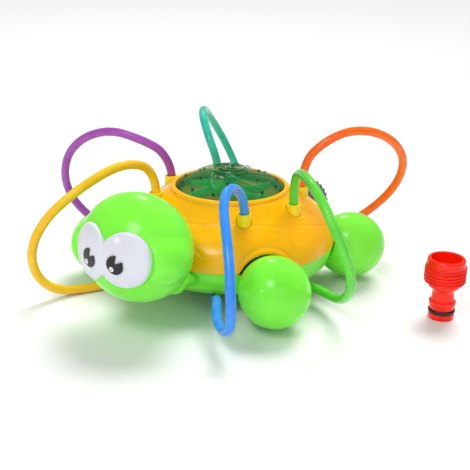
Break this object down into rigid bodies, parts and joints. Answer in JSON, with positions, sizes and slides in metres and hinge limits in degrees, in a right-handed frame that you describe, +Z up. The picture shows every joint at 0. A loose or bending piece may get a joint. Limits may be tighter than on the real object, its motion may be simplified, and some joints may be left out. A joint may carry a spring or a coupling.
{
  "type": "turtle sprinkler",
  "caption": "Turtle-shaped garden water toy with a spinning spray dome, looped whip tubes, a rear hose union and a separate tap adapter.",
  "frame": {"origin": "on the floor under the middle of the toy and its loose adapter, tubes left out", "axes": "+X towards the nose, +Y to the left side, +Z up"},
  "size_m": [0.2444, 0.2967, 0.1048],
  "materials": {
    "lime_plastic": "glossy moulded",
    "shell_orange": "glossy moulded",
    "socket_yellow": "glossy moulded",
    "eye_white": "glossy moulded",
    "pupil_black": "glossy printed",
    "dome_green": "clear tinted moulding",
    "rotor_green": "glossy moulded",
    "inner_natural": "as moulded",
    "union_grey": "satin moulded, knurled",
    "adapter_red": "glossy moulded",
    "rubber_black": "matte",
    "steel": "bright",
    "tube_blue": "soft glossy tube",
    "tube_green": "soft glossy tube",
    "tube_orange": "soft glossy tube",
    "tube_teal": "soft glossy tube",
    "tube_purple": "soft glossy tube",
    "tube_yellow": "soft glossy tube"
  },
  "bodies": {
    "body": {"foot_fl": "lime_plastic", "foot_rl": "lime_plastic", "foot_fr": "lime_plastic", "foot_rr": "lime_plastic", "upper_shell": "shell_orange", "lower_body": "lime_plastic", "neck": "lime_plastic", "head_shell": "lime_plastic", "eye_mask": "eye_white", "pupil_left": "pupil_black", "pupil_right": "pupil_black", "base_screw_1": "steel", "base_screw_2": "steel", "base_screw_3": "steel", "base_screw_4": "steel", "water_manifold": "inner_natural", "manifold_cover": "inner_natural", "inlet_pipe": "inner_natural", "outlet_socket_blue": "socket_yellow", "outlet_socket_green": "socket_yellow", "outlet_socket_orange": "socket_yellow", "outlet_socket_teal": "socket_yellow", "outlet_socket_purple": "socket_yellow", "outlet_socket_yellow": "socket_yellow", "whip_tube_blue": "tube_blue", "whip_tube_green": "tube_green", "whip_tube_orange": "tube_orange", "whip_tube_teal": "tube_teal", "whip_tube_purple": "tube_purple", "whip_tube_yellow": "tube_yellow", "spindle": "steel", "spindle_cap": "inner_natural", "rotor_seal": "rubber_black", "hose_washer": "rubber_black", "inlet_screen": "steel"},
    "dome": {"spray_dome": "dome_green", "spray_rotor": "rotor_green", "rotor_bush": "inner_natural"},
    "hose_union": {"union_nut": "union_grey"},
    "adapter": {"adapter_body": "adapter_red", "adapter_o_ring": "rubber_black"}
  },
  "joints": [
    {"name": "dome_spin", "type": "hinge", "parent": "body", "child": "dome", "pos_m": [-0.00818, -0.03429, 0.06], "axis": [0, 0, 1], "continuous": true},
    {"name": "union_turn", "type": "hinge", "parent": "body", "child": "hose_union", "pos_m": [-0.11018, -0.03429, 0.0274], "axis": [1, 0, 0], "continuous": true},
    {"name": "adapter_lift", "type": "slide", "parent": "body", "child": "adapter", "axis": [0, 0, 1], "range_m": [0, 0.06]}
  ]
}
